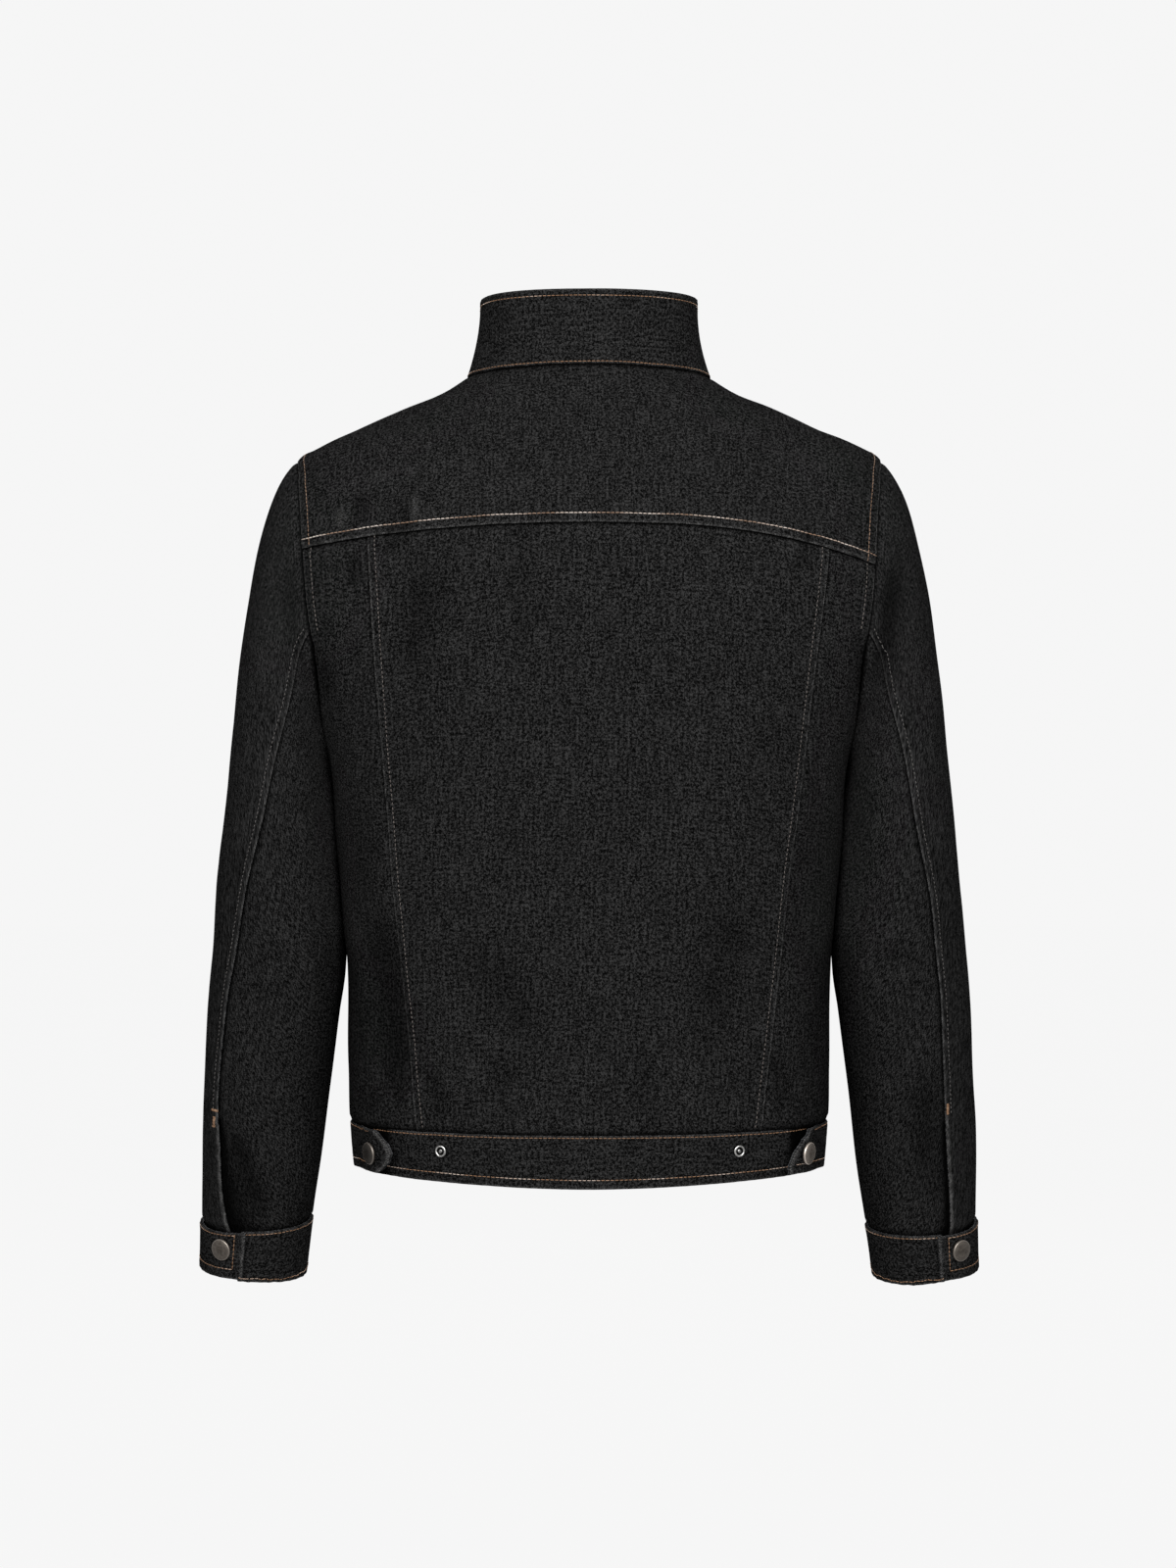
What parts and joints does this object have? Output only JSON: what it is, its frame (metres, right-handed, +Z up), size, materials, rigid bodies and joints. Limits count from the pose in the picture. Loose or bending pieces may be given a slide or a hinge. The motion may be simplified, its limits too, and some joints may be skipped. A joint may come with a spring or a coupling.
{
  "type": "denim jacket",
  "caption": "Waist-length denim jacket, hollow as worn, collar up: curved back yoke, two converging back seams, snap cuffs, and a waistband whose ends lap back as snap tabs.",
  "frame": {"origin": "centre of the neck opening, level with the neck seam at the shoulders", "axes": "+Z up, the front faces -Y, +X is the wearer's left"},
  "size_m": [0.6088, 0.2502, 0.7615],
  "materials": {
    "denim": "raw black twill, matt",
    "topstitch": "copper thread",
    "snap_cap": "gunmetal plated, satin",
    "snap_ring": "polished"
  },
  "bodies": {
    "root": {"back_center": "denim", "back_side_left": "denim", "back_side_right": "denim", "front_left": "denim", "front_right": "denim", "placket": "denim", "back_yoke": "denim", "collar": "denim", "waistband_back": "denim", "waistband_left": "denim", "waistband_right": "denim", "sleeve_upper_left": "denim", "sleeve_upper_right": "denim", "sleeve_under_left": "denim", "sleeve_under_right": "denim", "cuff_left": "denim", "cuff_right": "denim", "front_cap_1": "snap_cap", "front_cap_2": "snap_cap", "front_cap_3": "snap_cap", "front_cap_4": "snap_cap", "front_cap_5": "snap_cap", "front_cap_6": "snap_cap", "cuff_cap_left": "snap_cap", "cuff_cap_right": "snap_cap", "tab_cap_left": "snap_cap", "tab_cap_right": "snap_cap", "ring_post_left": "snap_ring", "ring_post_right": "snap_ring"}
  },
  "joints": []
}
